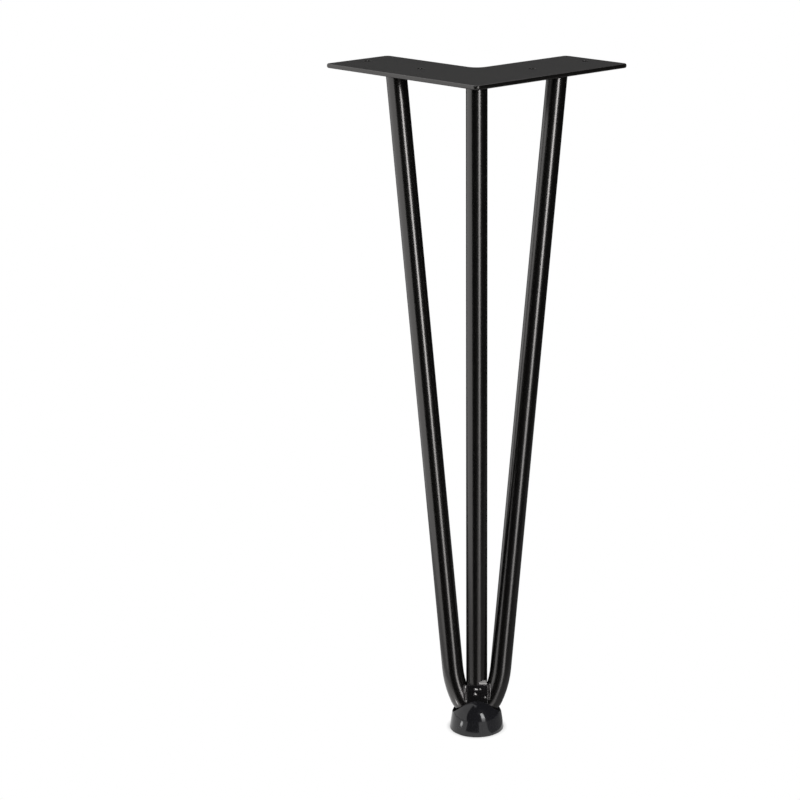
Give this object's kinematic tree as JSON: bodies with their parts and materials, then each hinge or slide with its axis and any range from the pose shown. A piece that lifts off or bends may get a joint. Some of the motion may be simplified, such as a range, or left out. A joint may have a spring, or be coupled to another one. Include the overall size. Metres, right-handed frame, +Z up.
{
  "type": "hairpin table leg",
  "caption": "Welded steel hairpin table leg: an L-shaped mounting plate with screw holes, a rod bent to a hairpin, a straight rod between its legs, and a domed plastic cap on the foot.",
  "frame": {"origin": "on the mounting plate's top face, where the centre lines of its two arms cross", "axes": "+Z up, out of the plate's top face; +X and +Y along the plate's two arms; the foot lies on the diagonal between -X and -Y"},
  "size_m": [0.1689, 0.1689, 0.36],
  "materials": {
    "plate_coat": "satin black powder coat with a fine texture, on mild steel sheet",
    "rod_coat": "satin black powder coat on mild steel round bar and its welds",
    "cap_plastic": "glossy black moulded plastic"
  },
  "bodies": {
    "root": {"mounting_plate": "plate_coat", "hairpin_rod": "rod_coat", "centre_rod": "rod_coat", "foot_weld": "rod_coat", "x_arm_weld": "rod_coat", "y_arm_weld": "rod_coat", "corner_weld": "rod_coat", "floor_cap": "cap_plastic"}
  },
  "joints": []
}
